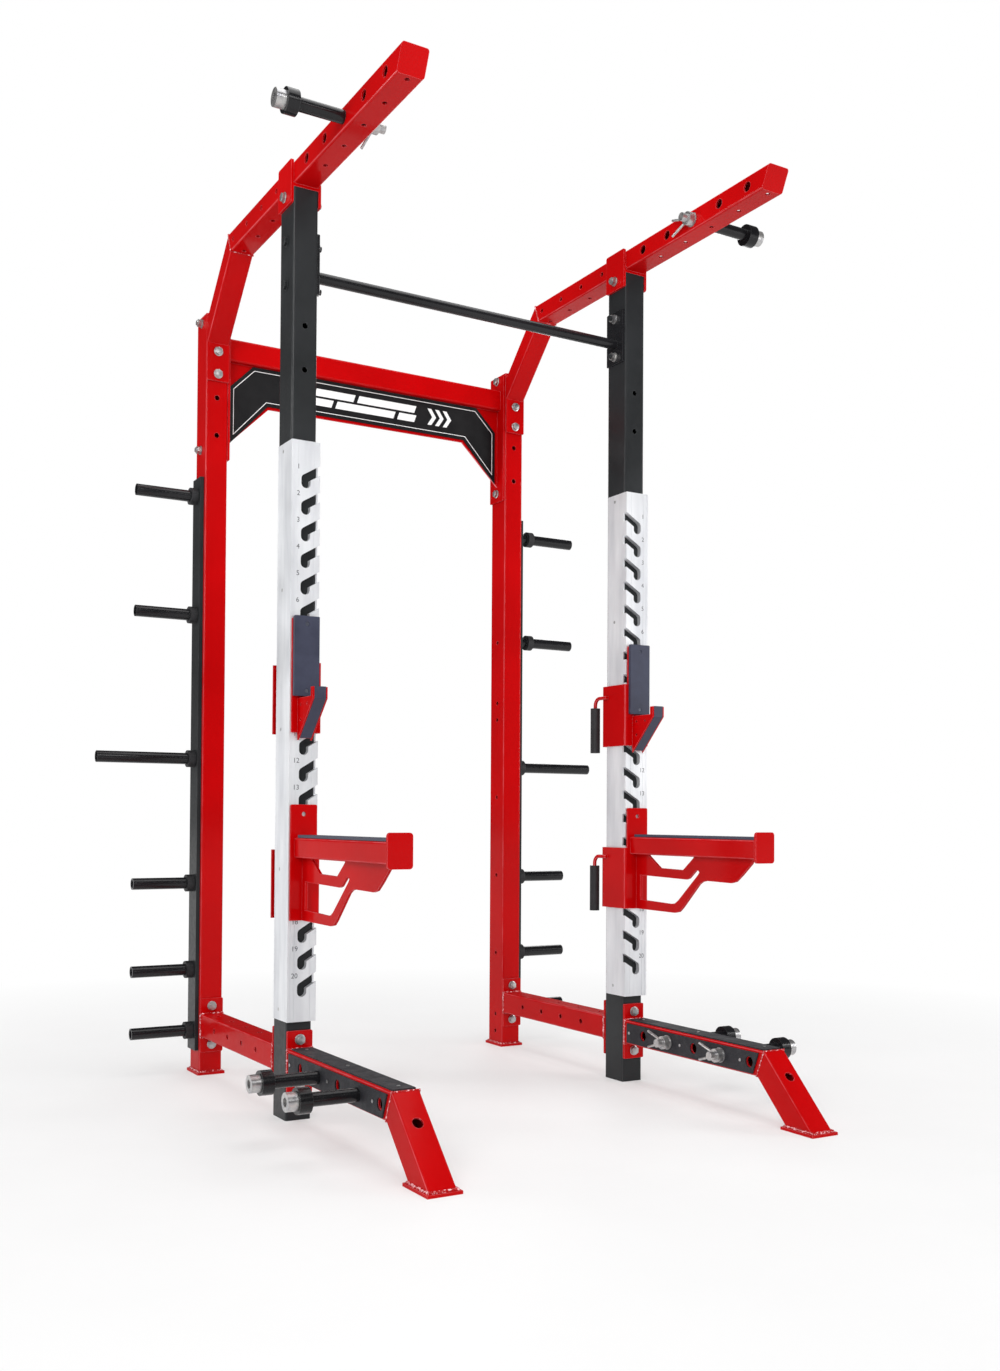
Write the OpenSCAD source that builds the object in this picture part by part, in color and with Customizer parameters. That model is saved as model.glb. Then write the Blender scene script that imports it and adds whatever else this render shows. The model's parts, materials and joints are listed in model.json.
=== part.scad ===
// Power cage: an open-front rack with two slotted front uprights, overhead arms, a storage
// back and lift-in bar holders. Millimetres, +X to the right, +Z up, front at -Y.
// The origin is on the floor in the middle of the whole footprint. Left and right are as seen
// from the front, so left pieces are at -X.

/* [Frame] */
// Outside width over the uprights
frame_w = 1244.6; // [1150:0.1:1400]
// Distance from the front uprights' front faces to the rear uprights' front faces
frame_pitch = 774.7; // [700:0.1:900]
// Height of the front uprights
front_h = 2667; // [2600:1:2750]
// Height of the rear uprights
rear_h = 2548; // [2540:1:2560]
// Width of every upright, seen from the front
post_w = 76.2; // [76.2:0.1:80]
// Depth of every upright, front to back
post_d = 101.6; // [90:0.1:110]
// Wall of the uprights and of the box tubes
wall = 4.8; // [3:0.1:6]
// Corner radius of the uprights and box tubes
corner_r = 7; // [5:0.5:9]
// Thickness of welded end plates
plate_t = 8; // [6:1:10]

/* [Base and feet] */
// Height of the base and foot tubes
base_h = 76.2; // [70:0.1:80]
// Underside of the base and foot tubes above the floor
base_z = 127; // [120:1:140]
// Foremost point of the top of each foot tube, in front of the uprights
foot_reach = 680; // [600:1:720]
// Height of the plates that bolt the base and feet to the uprights
base_plate_h = 177.8; // [170:0.1:190]
// Spread of the two bolts in those plates, and pitch of the hole rows
hole_pitch = 127; // [120:0.5:130]
// Diameter of the large attachment holes
big_hole_d = 28.6; // [27:0.1:32]

/* [Top arms and bar] */
// Height of the arms' tube section
arm_h = 63.5; // [60:0.5:70]
// Reach of the arms in front of the uprights, at mid height
arm_reach = 680; // [600:1:720]
// Distance behind the uprights' front faces at which the arms bend down
arm_bend = 554.9; // [500:0.1:600]
// Centre height of the pull-up bar
pullup_z = 2438; // [2420:1:2470]
// Diameter of the pull-up bar
pullup_d = 33; // [28:1:38]

/* [Slotted covers] */
// Number of slots in each cover
slot_count = 20; // [18:1:20]
// Distance from slot to slot
slot_pitch = 76.2; // [74:0.1:80]
// Seat of the lowest slot above the floor
slot_seat_z = 350.2; // [340:0.1:360]
// Radius of the slot's rounded seat
slot_r = 14; // [13.5:0.1:15]
// Thickness of the cover's front
cover_t = 17; // [15:0.5:19]
// Thickness of the cover's sides
cover_side_t = 5.1; // [4:0.1:6]

/* [Bar holders] */
// Slot, counted from the top, that holds the cup's upper pin
cup_slot = 7; // [6:1:8]
// Slot, counted from the top, that holds the spotter's upper pin
spotter_slot = 14; // [13:1:15]
// Radius of the pins that drop into the slots
pin_r = 12.5; // [11:0.1:12.5]
// Length of the spotter arm's tube
spotter_l = 610; // [500:5:640]
// Side of the spotter arm's square tube
spotter_tube = 57; // [50:1:60]

/* [Storage and band pegs] */
// Diameter of the storage sleeves
store_d = 38; // [34:1:50]
// Length of a short storage sleeve, from the rail
store_l = 203.5; // [180:0.5:220]
// Length of the long storage sleeve, from the rail
store_long_l = 324.3; // [300:0.1:350]
// Diameter of the band pegs' sleeves
peg_d = 36; // [30:1:40]
// Length of a band peg's sleeve
peg_l = 132; // [110:1:150]

/* [Hidden] */

FINE = 48;          // facets asked for on round parts
CUT = 1;            // how far cutting tools run past a face
FIT = 0.2;          // gap between bolted pieces
GAP = 0.3;          // gap between pieces that move past each other
RUN = 0.05;         // running clearance of a nut on its shaft
LEFT = -1;
RIGHT = 1;

post_x = (frame_w - post_w) / 2;
mid_y = -6.1;              // puts the origin in the middle of the whole footprint
front_y = post_d / 2;
rear_y = frame_pitch + post_d / 2;
rear_face_y = frame_pitch;
base_mid_z = base_z + base_h / 2;
bolt_d = 16;
bolt_hole_d = 17;
small_hole_d = 15;

// Top arm: seat plate on the upright, horizontal tube, 45 degree bend, plate on the rear upright
seat_t = 9;
arm_mid_z = front_h + seat_t + arm_h / 2;
arm_end_tilt = 25.3;
arm_drop = 45;
arm_mitre = arm_drop / 2;
arm_plate_h = 223;
arm_bolt_zs = [2349, 2425];
arm_bracket_z = 2620;
arm_bracket_h = 126;
arm_bolt_z = 2650;
arm_hole_ys = [for (i = [0 : 4]) -93 - i * hole_pitch];
arm_rear_hole_ys = [for (i = [0 : 3]) 139.5 + i * hole_pitch];

// Pull-up bar plates
bar_plate_z = 2460;
bar_plate_h = 176;
bar_plate_w = 90;
bar_bolt_zs = [bar_plate_z - hole_pitch / 2, bar_plate_z + hole_pitch / 2];

// Crossmember between the rear uprights, with its arched gusset and sign panel
cross_d = 50.8;
cross_z = 2413.8;
cross_h = 76.2;
cross_bolt_zs = [2098, 2530];
cross_plate_z = 2066;
cross_plate_h = 480;
gusset_t = 6;
sign_t = 4;
sign_top = cross_z - 2;
sign_half_top = 443;
sign_half = 529;
sign_corner_z = 2330;
sign_foot_z = 2135;
arch_half = 388;
arch_z = 2283;
gusset_lip = 9;

// Small holes in the fronts of the uprights, and in the rear uprights' inner faces
front_hole_zs = [2143, 2270];
rail_hole_zs = concat([for (i = [0 : 5]) 53 + i * 295], [117, 1297]);
base_bolt_zs = [base_mid_z - hole_pitch / 2, base_mid_z + hole_pitch / 2];

// Slotted cover
cover_half = post_w / 2 + FIT + cover_side_t;
cover_z0 = 280;
cover_z1 = 1934;
cover_back = 88;
slot_slope = 0.6;
slot_mouth_low = 38;
slot_mouth_high = 66;
groove_w = 1.4;
groove_d = 0.8;
cover_screw_y = 50;
cover_screw_zs = [for (i = [0 : 4]) 310 + i * 400.5];
screw_head_d = 10;
screw_head_t = 3;
screw_d = 6;
screw_hole_d = 6.6;

// Sleeve brackets of the cups and spotters
sleeve_gap = 1;
sleeve_t = 6;
sleeve_in = -cover_half - sleeve_gap;
sleeve_front = -cover_t - sleeve_gap;
sleeve_back = post_d + 1.4;
sleeve_outer_front = 40;
sleeve_outer_back = 47;
bend_r = 8;
pin_gap = 0.3;
pin_len = cover_t - 2;
cup_z0 = 1099;
cup_side_z1 = 1300;
cup_top_z = 1425;
cup_pad_z0 = 1202;
cup_pad_z1 = 1430;
cup_pad_t = 12;
cup_pad_w = 76;
hook_w = 34.4;
hook_liner_w = 34;
hook_side_t = 5;
hook_inset = 1;
hook_t = 5;
hook_lip = 7;
hook_tip_y = -135;
hook_tip_z = 1222;
hook_shelf_z = 1197;
hook_plate_t = 8;
hook_line = 1053;         // the sloping underside is z = hook_line - y
spotter_z0 = 567;
spotter_side_z1 = 765;
spotter_top_z = 895;
spotter_tube_z = 744;
strip_t = 8;
strip_w = 50;
end_w = 70;
end_z0 = 733;
end_h = 90;
rib_t = 8;
grip_d = 32;
rod_d = 12;
rod_bend_r = 24;
grip_l = 150;
handle_x = sleeve_in - sleeve_t - rod_d / 2 + 1;
handle_y = sleeve_back + 38;
handle_start = sleeve_back - 30;
cup_grip_z = 1080;
spotter_grip_z = 552;

// Band pegs
washer_d = 44;
washer_t = 3;
hex_d = 27;
head_t = 10;
nut_t = 15;
nut_face_t = 3;
nut_face_d = 30;
bolt_end = 6.8;
peg_shaft_d = 25.4;
peg_collar_d = 66;
peg_collar_l = 33;
peg_end_d = 48;
peg_end_l = 28;
peg_inner_l = 44;
hub_d = 40;
hub_l = 20;
wing_d = 8;
wing_start = 16;
wing_reach = 84;
wing_spread = 34;
pad_t = 4;
pad_gap = 8;
ARM = 0;
REAR = 1;
FRONT = 2;
peg_places = [[-347, arm_mid_z], [-241, base_mid_z], [-495, base_mid_z]];
function peg_skin(peg) = peg == ARM ? 0 : pad_t;

// Storage sleeves on a rail along each rear upright
rail_t = 12.7;
rail_w = 76.2;
rail_z0 = 80;
rail_z1 = 2000;
store_zs = [144, 347, 636, 1053, 1537, 1938];
store_long = 3;
stub_l = 34;
stub_d = 30;
stub_first = 4;           // the right-hand sleeves from this one up stand on a stub
collar_d = 57;
collar_l = 24;

function arc(c, r, a0, a1, n = 4) = [for (i = [0 : n]) let (a = a0 + (a1 - a0) * i / n)
    [c[0] + r * cos(a), c[1] + r * sin(a)]];
function round_rect(w, d, r) = concat(
    arc([w / 2 - r, d / 2 - r], r, 0, 90), arc([r - w / 2, d / 2 - r], r, 90, 180),
    arc([r - w / 2, r - d / 2], r, 180, 270), arc([w / 2 - r, r - d / 2], r, 270, 360));
function slot_z(k) = slot_seat_z + (slot_count - k) * slot_pitch;
function pin_z(k) = slot_z(k) + pin_r + pin_gap;

// Places children at one upright. Their +X points outwards, away from the cage.
module at_post(side) {
    translate([side * post_x, mid_y, 0]) mirror([side < 0 ? 1 : 0, 0, 0]) children();
}

module both_posts() {
    for (side = [LEFT, RIGHT]) at_post(side) children();
}

// Turns an X, Y outline into a slab in the Y, Z plane, centred on X
module side_slab(t) {
    translate([-t / 2, 0, 0]) rotate([90, 0, 90]) linear_extrude(t) children();
}

module rod_x(x0, x1, d) {
    translate([x0, 0, 0]) rotate([0, 90, 0]) cylinder(h = x1 - x0, d = d, $fn = FINE);
}

module rod_y(y0, y1, d) {
    translate([0, y0, 0]) rotate([-90, 0, 0]) cylinder(h = y1 - y0, d = d, $fn = FINE);
}

module hex_x(x0, x1, across) {
    translate([x0, 0, 0]) rotate([0, 90, 0]) cylinder(h = x1 - x0, d = across, $fn = 6);
}

module box_tube(w, d, h) {
    difference() {
        linear_extrude(h) polygon(round_rect(w, d, corner_r));
        translate([0, 0, -CUT]) linear_extrude(h + 2 * CUT)
            polygon(round_rect(w - 2 * wall, d - 2 * wall, corner_r - wall));
    }
}

// A bar along +Y, w wide and h high, cut at both ends by planes tilted about X
module cut_bar(w, h, r, y0, y1, tilt0, tilt1) {
    big = 4 * h;
    difference() {
        translate([0, y0 - h, 0]) rotate([-90, 0, 0])
            linear_extrude(y1 - y0 + 2 * h) polygon(round_rect(w, h, r));
        translate([0, y0, 0]) rotate([tilt0, 0, 0])
            translate([-big / 2, -big, -big / 2]) cube([big, big, big]);
        translate([0, y1, 0]) rotate([tilt1, 0, 0])
            translate([-big / 2, 0, -big / 2]) cube([big, big, big]);
    }
}

// The same bar made hollow: cap0 and cap1 are the lengths left solid at the two ends
module cut_tube(w, h, y0, y1, tilt0, tilt1, cap0, cap1) {
    difference() {
        cut_bar(w, h, corner_r, y0, y1, tilt0, tilt1);
        cut_bar(w - 2 * wall, h - 2 * wall, corner_r - wall, y0 + cap0, y1 - cap1, tilt0, tilt1);
    }
}

// ---------- uprights ----------

module front_upright(side) {
    color("#26282b") at_post(side) difference() {
        translate([0, front_y, 0]) box_tube(post_w, post_d, front_h);
        for (z = concat(base_bolt_zs, front_hole_zs))
            translate([0, 0, z]) rod_y(-CUT, post_d + CUT, bolt_hole_d);
        for (z = concat(bar_bolt_zs, [arm_bolt_z]))
            translate([0, front_y, z]) rod_x(-post_w, post_w, bolt_hole_d);
        for (z = cover_screw_zs)
            translate([0, cover_screw_y, z]) rod_x(-post_w, post_w, screw_hole_d);
    }
}

module rear_upright(side) {
    color("#c8102a") at_post(side) difference() {
        union() {
            translate([0, rear_y, plate_t]) box_tube(post_w, post_d, rear_h - plate_t);
            translate([-post_w / 2 - pad_gap, rear_face_y - pad_gap, 0])
                cube([post_w + 2 * pad_gap, post_d + 2 * pad_gap - FIT, plate_t + CUT]);
        }
        for (z = concat(base_bolt_zs, arm_bolt_zs, front_hole_zs))
            translate([0, 0, z]) rod_y(rear_face_y - CUT, rear_face_y + post_d + CUT, bolt_hole_d);
        for (z = cross_bolt_zs)
            translate([0, rear_y, z]) rod_x(-post_w, post_w, bolt_hole_d);
        for (z = rail_hole_zs)
            translate([0, rear_y, z]) rod_x(-post_w, 0, small_hole_d);
    }
}

module upright_caps() {
    color("#c8102a") both_posts() translate([0, rear_y, rear_h + FIT])
        linear_extrude(plate_t / 2) polygon(round_rect(post_w, post_d, corner_r));
}

// ---------- slotted covers ----------

// One slot, seat at z = 0: a vertical seat under a mouth that slopes to the inner edge
module slot_cut() {
    arc_z = slot_mouth_high - slot_slope * post_w / 2 - slot_r * sqrt(1 + slot_slope * slot_slope);
    reach = cover_half - post_w / 2 + CUT;
    knee = post_w / 2 - slot_r;
    tip = post_w / 2 + slot_r * slot_slope / sqrt(1 + slot_slope * slot_slope);
    through = cover_t + CUT;
    translate([-post_w / 2, CUT / 4, 0]) rotate([90, 0, 0]) {
        linear_extrude(through) polygon([
            [-reach, slot_mouth_high + slot_slope * reach], [tip, slot_mouth_high - slot_slope * tip],
            [post_w / 2 + slot_r, arc_z], [post_w / 2 + slot_r, slot_r], [knee, slot_r],
            [knee, slot_mouth_low - slot_slope * knee], [-reach, slot_mouth_low + slot_slope * reach]]);
        for (z = [slot_r, arc_z])
            translate([post_w / 2, z, 0]) cylinder(h = through, r = slot_r, $fn = FINE);
    }
}

module slot_cover(side) {
    color("#c9ccd1") at_post(side) difference() {
        translate([-cover_half, -cover_t, cover_z0])
            cube([2 * cover_half, cover_t + cover_back, cover_z1 - cover_z0]);
        translate([-post_w / 2 - FIT, -FIT, cover_z0 - CUT])
            cube([post_w + 2 * FIT, cover_back + 2 * CUT, cover_z1 - cover_z0 + 2 * CUT]);
        for (k = [1 : slot_count]) translate([0, 0, slot_z(k)]) slot_cut();
        for (x = [-24, 24, 36])
            translate([x - groove_w / 2, -cover_t - CUT, cover_z0 - CUT])
                cube([groove_w, groove_d + CUT, cover_z1 - cover_z0 + 2 * CUT]);
        for (z = cover_screw_zs) translate([0, cover_screw_y, z]) {
            rod_x(-cover_half - CUT, cover_half + CUT, screw_hole_d);
            rod_x(cover_half - screw_head_t, cover_half + CUT, screw_head_d + 2 * FIT);
            rod_x(-cover_half - CUT, screw_head_t - cover_half, screw_head_d + 2 * FIT);
        }
    }
}

// Flush screws through the covers' sides
module cover_screws() {
    color("#8d9094") both_posts() for (z = cover_screw_zs, turn = [0, 180])
        translate([0, cover_screw_y, z]) rotate([0, 0, turn]) {
            rod_x(cover_half - screw_head_t + FIT, cover_half - FIT, screw_head_d);
            rod_x(post_w / 2 - wall - 3, cover_half - screw_head_t + 2 * FIT, screw_d);
        }
}

// ---------- base tubes and feet ----------

// A bolt-on end plate in the X, Z plane, from y0 towards +Y
module end_plate(y0) {
    translate([0, y0 + plate_t, base_mid_z]) rotate([90, 0, 0])
        linear_extrude(plate_t) polygon(round_rect(post_w, base_plate_h, 4));
}

module base_tube(side) {
    y0 = post_d + FIT;
    y1 = rear_face_y - FIT;
    color("#c8102a") at_post(side) difference() {
        union() {
            end_plate(y0);
            end_plate(y1 - plate_t);
            translate([0, 0, base_mid_z])
                cut_tube(post_w, base_h, y0 + 1, y1 - 1, 0, 0, 0, 0);
        }
        for (z = base_bolt_zs) translate([0, 0, z]) rod_y(y0 - CUT, y1 + CUT, bolt_hole_d);
        for (i = [-1.5 : 1 : 1.5])
            translate([0, (y0 + y1) / 2 + i * hole_pitch, base_mid_z])
                rod_x(-post_w, post_w, bolt_hole_d);
        for (i = [-2 : 2])
            translate([0, (y0 + y1) / 2 + i * hole_pitch, base_mid_z])
                cylinder(h = post_w, d = bolt_hole_d, $fn = FINE);
    }
}

foot_mitre = 22.5;
leg_plate_l = 127;
leg_hole_run = 75;
foot_mid_y = -foot_reach + base_h / 2 * tan(foot_mitre);
foot_hole_ys = [for (i = [0 : 4]) -114 - i * hole_pitch];
leg_len = (base_mid_z - plate_t / 2) * sqrt(2);

module foot(side) {
    color("#c8102a") at_post(side) difference() {
        union() {
            end_plate(-plate_t - FIT);
            translate([0, 0, base_mid_z])
                cut_tube(post_w, base_h, foot_mid_y, -plate_t, foot_mitre, 0, 0, 0);
        }
        for (z = base_bolt_zs) translate([0, 0, z]) rod_y(-2 * plate_t, CUT, bolt_hole_d);
        for (y = foot_hole_ys)
            translate([0, y, base_mid_z]) rod_x(-post_w, post_w, big_hole_d);
    }
}

// The sloping leg, mitred onto the foot's tube, with its floor plate
module foot_leg(side) {
    color("#c8102a") at_post(side) difference() {
        union() {
            translate([0, foot_mid_y, base_mid_z]) rotate([2 * foot_mitre, 0, 0])
                cut_tube(post_w, base_h, -leg_len, 0, 2 * foot_mitre, -foot_mitre, 0, 0);
            translate([-post_w / 2 - pad_gap, -rear_y - post_d / 2 - pad_gap + FIT, 0])
                cube([post_w + 2 * pad_gap, leg_plate_l, plate_t]);
        }
        translate([0, foot_mid_y, base_mid_z]) rotate([2 * foot_mitre, 0, 0])
            translate([0, -leg_hole_run, 0]) cylinder(h = post_w, d = big_hole_d, $fn = FINE);
    }
}

// Grip pads on the top and both sides of each foot
module foot_pads() {
    top_end = -foot_reach + 8;
    z0 = base_z + 6;
    z1 = base_z + base_h - 8;
    color("#1d1e20") both_posts() {
        translate([-31, top_end, base_z + base_h + FIT]) cube([62, -top_end - 24, pad_t]);
        for (x = [-post_w / 2 - pad_t - FIT, post_w / 2 + FIT]) difference() {
            translate([x, 0, 0]) rotate([90, 0, 90]) linear_extrude(pad_t) polygon([
                [-26, z0], [-26, z1], [-foot_reach + 20, z1], [-foot_reach + 44, z0]]);
            for (y = foot_hole_ys)
                translate([0, y, base_mid_z]) rod_x(x - CUT, x + pad_t + CUT, big_hole_d + 3);
        }
    }
}

// Button screws that hold the foot pads
module pad_screws() {
    color("#7a7d80") both_posts() {
        for (y = [-41, -305, -584], x = [-post_w / 2 - FIT - pad_t - 2.2, post_w / 2 + FIT + pad_t + 0.2])
            translate([0, y, base_mid_z]) rod_x(x, x + 2, 9);
        for (y = [-60, -340, -640])
            translate([0, y, base_z + base_h + pad_t + 2 * FIT]) cylinder(h = 2, d = 9, $fn = FINE);
    }
}

// ---------- top arms ----------

module top_arm(side) {
    color("#c8102a") at_post(side) difference() {
        union() {
            translate([0, 0, arm_mid_z])
                cut_tube(post_w, arm_h, -arm_reach, arm_bend, arm_end_tilt, -arm_mitre, wall, 0);
            translate([-post_w / 2, 0, front_h + FIT]) cube([post_w, post_d, seat_t + 1]);
            for (x = [-post_w / 2 - plate_t, post_w / 2])
                translate([x, 0, 0]) rotate([90, 0, 90]) linear_extrude(plate_t)
                    translate([front_y, arm_bracket_z + arm_bracket_h / 2])
                        polygon(round_rect(post_d, arm_bracket_h, 6));
        }
        // clearance round the upright's head
        translate([-post_w / 2 - FIT, -CUT, arm_bracket_z - CUT])
            cube([post_w + 2 * FIT, post_d + 2 * CUT, front_h + FIT - arm_bracket_z + CUT]);
        translate([0, front_y, arm_bolt_z]) rod_x(-post_w, post_w, bolt_hole_d);
        for (y = arm_hole_ys)
            translate([0, y, arm_mid_z]) rod_x(-post_w, post_w, big_hole_d);
        for (y = arm_rear_hole_ys)
            translate([0, y, arm_mid_z]) rod_x(-post_w, post_w, small_hole_d);
        for (y = concat([for (y = arm_hole_ys) y - 46], arm_rear_hole_ys))
            translate([0, y, arm_mid_z - arm_h]) cylinder(h = arm_h, d = small_hole_d, $fn = FINE);
    }
}

// The arm's sloping rear length, mitred onto it, with the plate that bolts to the rear upright
module arm_brace(side) {
    slant = (rear_face_y - plate_t / 2 - arm_bend) / cos(arm_drop);
    color("#c8102a") at_post(side) difference() {
        union() {
            translate([0, arm_bend, arm_mid_z]) rotate([-arm_drop, 0, 0])
                cut_tube(post_w, arm_h, 0, slant, arm_mitre, arm_drop, 0, 0);
            translate([0, rear_face_y - FIT, rear_h - arm_plate_h / 2]) rotate([90, 0, 0])
                linear_extrude(plate_t) polygon(round_rect(post_w, arm_plate_h, 4));
        }
        for (z = arm_bolt_zs)
            translate([0, 0, z]) rod_y(rear_face_y - 3 * plate_t, rear_face_y + CUT, bolt_hole_d);
    }
}

// ---------- pull-up bar ----------

module pull_up_bar() {
    end_x = post_x - post_w / 2 - FIT;
    color("#26282b") translate([0, mid_y, 0]) difference() {
        union() {
            translate([0, front_y, pullup_z]) rod_x(1 - end_x, end_x - 1, pullup_d);
            for (x = [-end_x, end_x - plate_t])
                translate([x, 0, 0]) rotate([90, 0, 90]) linear_extrude(plate_t)
                    translate([front_y, bar_plate_z])
                        polygon(round_rect(bar_plate_w, bar_plate_h, 4));
        }
        for (x = [-end_x - CUT, end_x - 2 * plate_t], z = bar_bolt_zs)
            translate([0, front_y, z]) rod_x(x, x + 2 * plate_t + CUT, bolt_hole_d);
    }
}

// ---------- crossmember and sign ----------

module arch_outline(top, half_top, half, corner_z, foot_z, inner, arch) {
    polygon([[-half_top, top], [-half, corner_z], [-half, foot_z], [-inner, arch],
        [inner, arch], [half, foot_z], [half, corner_z], [half_top, top]]);
}

module crossmember() {
    end_x = post_x - post_w / 2 - FIT;
    color("#c8102a") translate([0, mid_y, 0]) difference() {
        union() {
            translate([0, rear_y, cross_z + cross_h / 2]) rotate([0, 0, -90])
                cut_tube(cross_d, cross_h, 1 - end_x, end_x - 1, 0, 0, 0, 0);
            for (x = [-end_x, end_x - plate_t])
                translate([x, 0, 0]) rotate([90, 0, 90]) linear_extrude(plate_t)
                    translate([rear_y, cross_plate_z + cross_plate_h / 2])
                        polygon(round_rect(post_d - 4, cross_plate_h, 4));
            translate([0, rear_y + gusset_t / 2, 0]) rotate([90, 0, 0]) linear_extrude(gusset_t)
                arch_outline(cross_z + 1, end_x - 1, end_x - 1, cross_z, sign_foot_z - gusset_lip * 2,
                    arch_half - gusset_lip / 2, arch_z - gusset_lip);
        }
        for (x = [-end_x - CUT, end_x - 2 * plate_t], z = cross_bolt_zs)
            translate([0, rear_y, z]) rod_x(x, x + 2 * plate_t + CUT, bolt_hole_d);
    }
}

module sign_panel() {
    color("#111214") translate([0, mid_y + rear_y - gusset_t / 2 - FIT, 0]) rotate([90, 0, 0])
        linear_extrude(sign_t)
            arch_outline(sign_top, sign_half_top, sign_half - 4, sign_corner_z, sign_foot_z,
                arch_half, arch_z);
}

// ---------- storage ----------

module storage_rails() {
    color("#33363a") both_posts() difference() {
        translate([post_w / 2 + FIT, rear_y - rail_w / 2, rail_z0])
            cube([rail_t, rail_w, rail_z1 - rail_z0]);
        for (z = store_zs)
            translate([0, rear_y, z]) rod_x(post_w / 2, post_w / 2 + rail_t + 1, bolt_hole_d);
    }
}

function store_stub(side, i) = side == RIGHT && i >= stub_first ? stub_l : 0;
store_x0 = post_w / 2 + rail_t + 2 * FIT;
store_root_d = store_d - 3;
store_bore_d = store_d - 10;
store_bore_l = 6;

module storage_sleeves() {
    color("#1d1e20") for (side = [LEFT, RIGHT], i = [0 : len(store_zs) - 1])
        at_post(side) translate([0, rear_y, store_zs[i]]) {
            tip = store_x0 + (i == store_long ? store_long_l : store_l) + store_stub(side, i);
            rod_x(post_w / 2 + 1, store_x0 + CUT, bolt_d);
            if (store_stub(side, i) > 0) rod_x(store_x0, store_x0 + stub_l, stub_d);
            shoulder = store_x0 + store_stub(side, i) + collar_l + 2 * FIT;
            rod_x(store_x0 + store_stub(side, i), shoulder + CUT, store_root_d);
            difference() {
                rod_x(shoulder, tip, store_d);
                rod_x(tip - store_bore_l, tip + CUT, store_bore_d);
            }
        }
}

module storage_collars() {
    color("#101113") for (side = [LEFT, RIGHT], i = [0 : len(store_zs) - 1])
        at_post(side) translate([store_x0 + store_stub(side, i) + FIT, rear_y, store_zs[i]])
            difference() {
                rod_x(0, collar_l, collar_d);
                rod_x(-CUT, collar_l + CUT, store_root_d + 2 * FIT);
            }
}

// ---------- bolts ----------

// A hex bolt along +X: head below x0, shank to x1
module bolt_x(x0, x1) {
    hex_x(x0 - FIT - head_t, x0 - FIT, hex_d);
    rod_x(x0 - FIT - 1, x1, bolt_d);
}

// A washer and hex nut along +X from x0
module nut_x(x0) {
    difference() {
        union() {
            rod_x(x0 + FIT, x0 + FIT + nut_face_t, nut_face_d);
            hex_x(x0 + FIT + nut_face_t - CUT, x0 + FIT + nut_t, hex_d);
        }
        rod_x(x0 - CUT, x0 + 20, bolt_d + 2 * RUN);
    }
}

module along_y() {
    rotate([0, 0, 90]) children();
}

module frame_bolts() {
    inner = -post_w / 2 - plate_t - FIT;
    color("#b9bcc0") both_posts() {
        for (z = base_bolt_zs) {
            translate([0, 0, z]) along_y() bolt_x(-plate_t - FIT, post_d + plate_t + 22);
            translate([0, 0, z]) along_y()
                bolt_x(rear_face_y - plate_t - FIT, rear_face_y + post_d + 20);
        }
        for (z = arm_bolt_zs) translate([0, 0, z]) along_y()
            bolt_x(rear_face_y - plate_t - FIT, rear_face_y + post_d + 20);
        for (z = cross_bolt_zs) translate([0, rear_y, z]) bolt_x(inner, post_w / 2 + 20);
        translate([0, front_y, arm_bolt_z]) mirror([1, 0, 0]) bolt_x(inner, -inner + 20);
    }
}

module frame_nuts() {
    color("#b9bcc0") both_posts() {
        for (z = base_bolt_zs) {
            translate([0, 0, z]) along_y() nut_x(post_d + plate_t + FIT);
            translate([0, 0, z]) along_y() nut_x(rear_face_y + post_d);
        }
        for (z = arm_bolt_zs) translate([0, 0, z]) along_y() nut_x(rear_face_y + post_d);
        for (z = cross_bolt_zs) translate([0, rear_y, z]) nut_x(post_w / 2);
        for (z = bar_bolt_zs)
            translate([0, front_y, z]) mirror([1, 0, 0]) nut_x(post_w / 2 + plate_t + FIT);
        translate([0, front_y, arm_bolt_z]) mirror([1, 0, 0]) nut_x(post_w / 2 + plate_t);
    }
}

module bar_bolts() {
    color("#1d1e20") both_posts() for (z = bar_bolt_zs)
        translate([0, front_y, z]) mirror([1, 0, 0])
            bolt_x(-post_w / 2, post_w / 2 + plate_t + nut_t + FIT + bolt_end);
}

// ---------- sleeve brackets ----------

// Plan outline of the bracket: front plate, inner side and back flange, bent from one strip
function sleeve_outline() = let (
        ox = sleeve_in - sleeve_t, fy = sleeve_front - sleeve_t, by = sleeve_back + sleeve_t,
        r2 = bend_r - sleeve_t)
    concat([[sleeve_outer_front, fy]], arc([ox + bend_r, fy + bend_r], bend_r, 270, 180),
        arc([ox + bend_r, by - bend_r], bend_r, 180, 90),
        [[sleeve_outer_back, by], [sleeve_outer_back, sleeve_back]],
        arc([sleeve_in + r2, sleeve_back - r2], r2, 90, 180),
        arc([sleeve_in + r2, sleeve_front + r2], r2, 180, 270),
        [[sleeve_outer_front, sleeve_front]]);

// The bent bracket from z0 to side_z1, its front plate up to z1, and the two slot pins
module sleeve(z0, side_z1, z1, slot_a, slot_b) {
    translate([0, 0, z0]) linear_extrude(side_z1 - z0) polygon(sleeve_outline());
    translate([0, sleeve_front, 0]) rotate([90, 0, 0]) linear_extrude(sleeve_t)
        translate([0, (z0 + z1) / 2]) polygon(round_rect(2 * sleeve_outer_front, z1 - z0, 5));
    for (k = [slot_a, slot_b])
        translate([0, 0, pin_z(k)]) rod_y(sleeve_front - 1, sleeve_front + sleeve_gap + pin_len, 2 * pin_r);
}

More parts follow.
